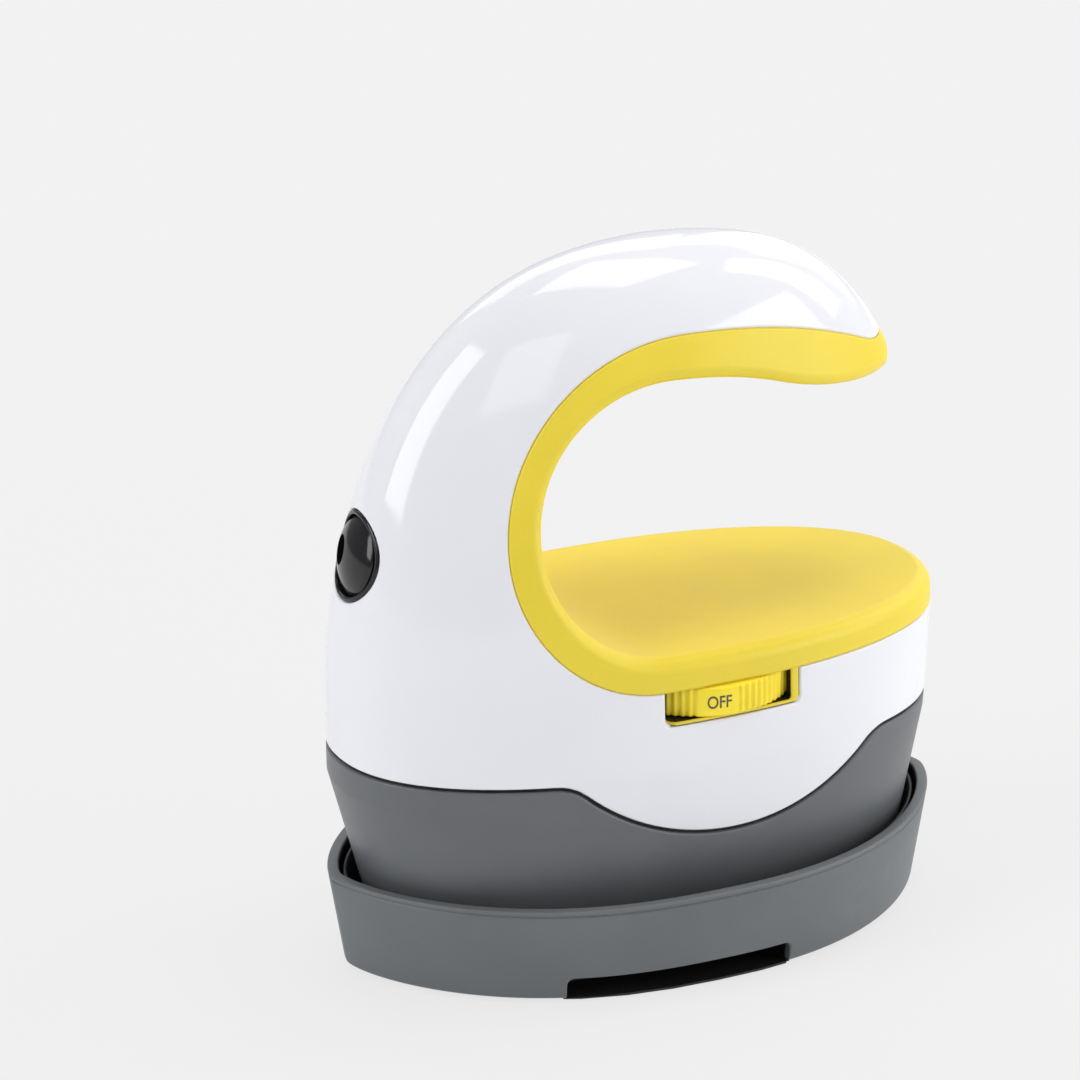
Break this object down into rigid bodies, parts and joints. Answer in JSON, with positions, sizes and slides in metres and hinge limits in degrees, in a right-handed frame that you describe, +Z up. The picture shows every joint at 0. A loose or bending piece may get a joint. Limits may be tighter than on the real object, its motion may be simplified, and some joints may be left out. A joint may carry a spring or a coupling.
{
  "type": "handheld heat press",
  "caption": "Small handheld heat press with a C-shaped handle arm over a palm pad, a side dial and a cord swivel, resting in a lens-shaped safety tray.",
  "frame": {"origin": "centre of the bounding box's bottom face, which is the middle of the tray's footprint on the table", "axes": "+Z up, +X along the body towards the open end of the handle arm, -Y towards the dial"},
  "size_m": [0.1256, 0.079, 0.137],
  "materials": {
    "tray_grey": "satin",
    "cup_black": "satin",
    "silicone_dark": "matte",
    "base_black": "satin",
    "foot_rubber": "matte",
    "screw_steel": "satin",
    "housing_white": "gloss",
    "grip_yellow": "satin",
    "skirt_grey": "satin",
    "gasket_black": "matte",
    "plate_aluminium": "satin",
    "element_sheath": "satin",
    "terminal_tin": "satin",
    "reflector_aluminium": "gloss",
    "insulation_board": "matte",
    "thermostat_black": "satin",
    "sensor_brown": "satin",
    "board_green": "satin",
    "relay_blue": "satin",
    "capacitor_dark": "satin",
    "terminal_green": "satin",
    "lead_cream": "matte",
    "lead_brown_blue": "matte",
    "switch_dark": "satin",
    "outlet_black": "satin",
    "clip_steel": "satin",
    "swivel_black": "gloss",
    "dial_yellow": "satin",
    "shaft_steel": "satin"
  },
  "bodies": {
    "stand": {"stand_shell": "tray_grey", "stand_liner": "cup_black", "stand_rest_pad": "silicone_dark", "stand_base": "base_black", "stand_feet": "foot_rubber", "stand_screws": "screw_steel"},
    "press": {"housing": "housing_white", "grip_liner": "grip_yellow", "skirt": "skirt_grey", "seam_gasket": "gasket_black", "heat_plate": "plate_aluminium", "heating_element": "element_sheath", "element_terminals": "terminal_tin", "heat_reflector": "reflector_aluminium", "insulation_board": "insulation_board", "plate_screws": "screw_steel", "thermostat": "thermostat_black", "temperature_sensor": "sensor_brown", "circuit_board": "board_green", "board_screws": "screw_steel", "power_relay": "relay_blue", "filter_capacitors": "capacitor_dark", "terminal_block": "terminal_green", "heater_leads": "lead_cream", "mains_leads": "lead_brown_blue", "switch_body": "switch_dark", "housing_screws": "screw_steel", "outlet_ring": "outlet_black"},
    "dial": {"dial_wheel": "dial_yellow", "dial_shaft": "shaft_steel", "dial_screw": "screw_steel"},
    "swivel": {"cord_swivel": "swivel_black", "outlet_clip": "clip_steel"}
  },
  "joints": [
    {"name": "press_lift", "type": "slide", "parent": "stand", "child": "press", "axis": [0, 0, 1], "range_m": [0, 0.08]},
    {"name": "dial_turn", "type": "hinge", "parent": "press", "child": "dial", "pos_m": [0.0047, -0.01521, 0.0565], "axis": [0, 0, 1], "range_deg": [0, 180]},
    {"name": "cord_turn", "type": "hinge", "parent": "press", "child": "swivel", "pos_m": [-0.0591, 0, 0.084], "axis": [-0.9744, 0, 0.225], "continuous": true}
  ]
}
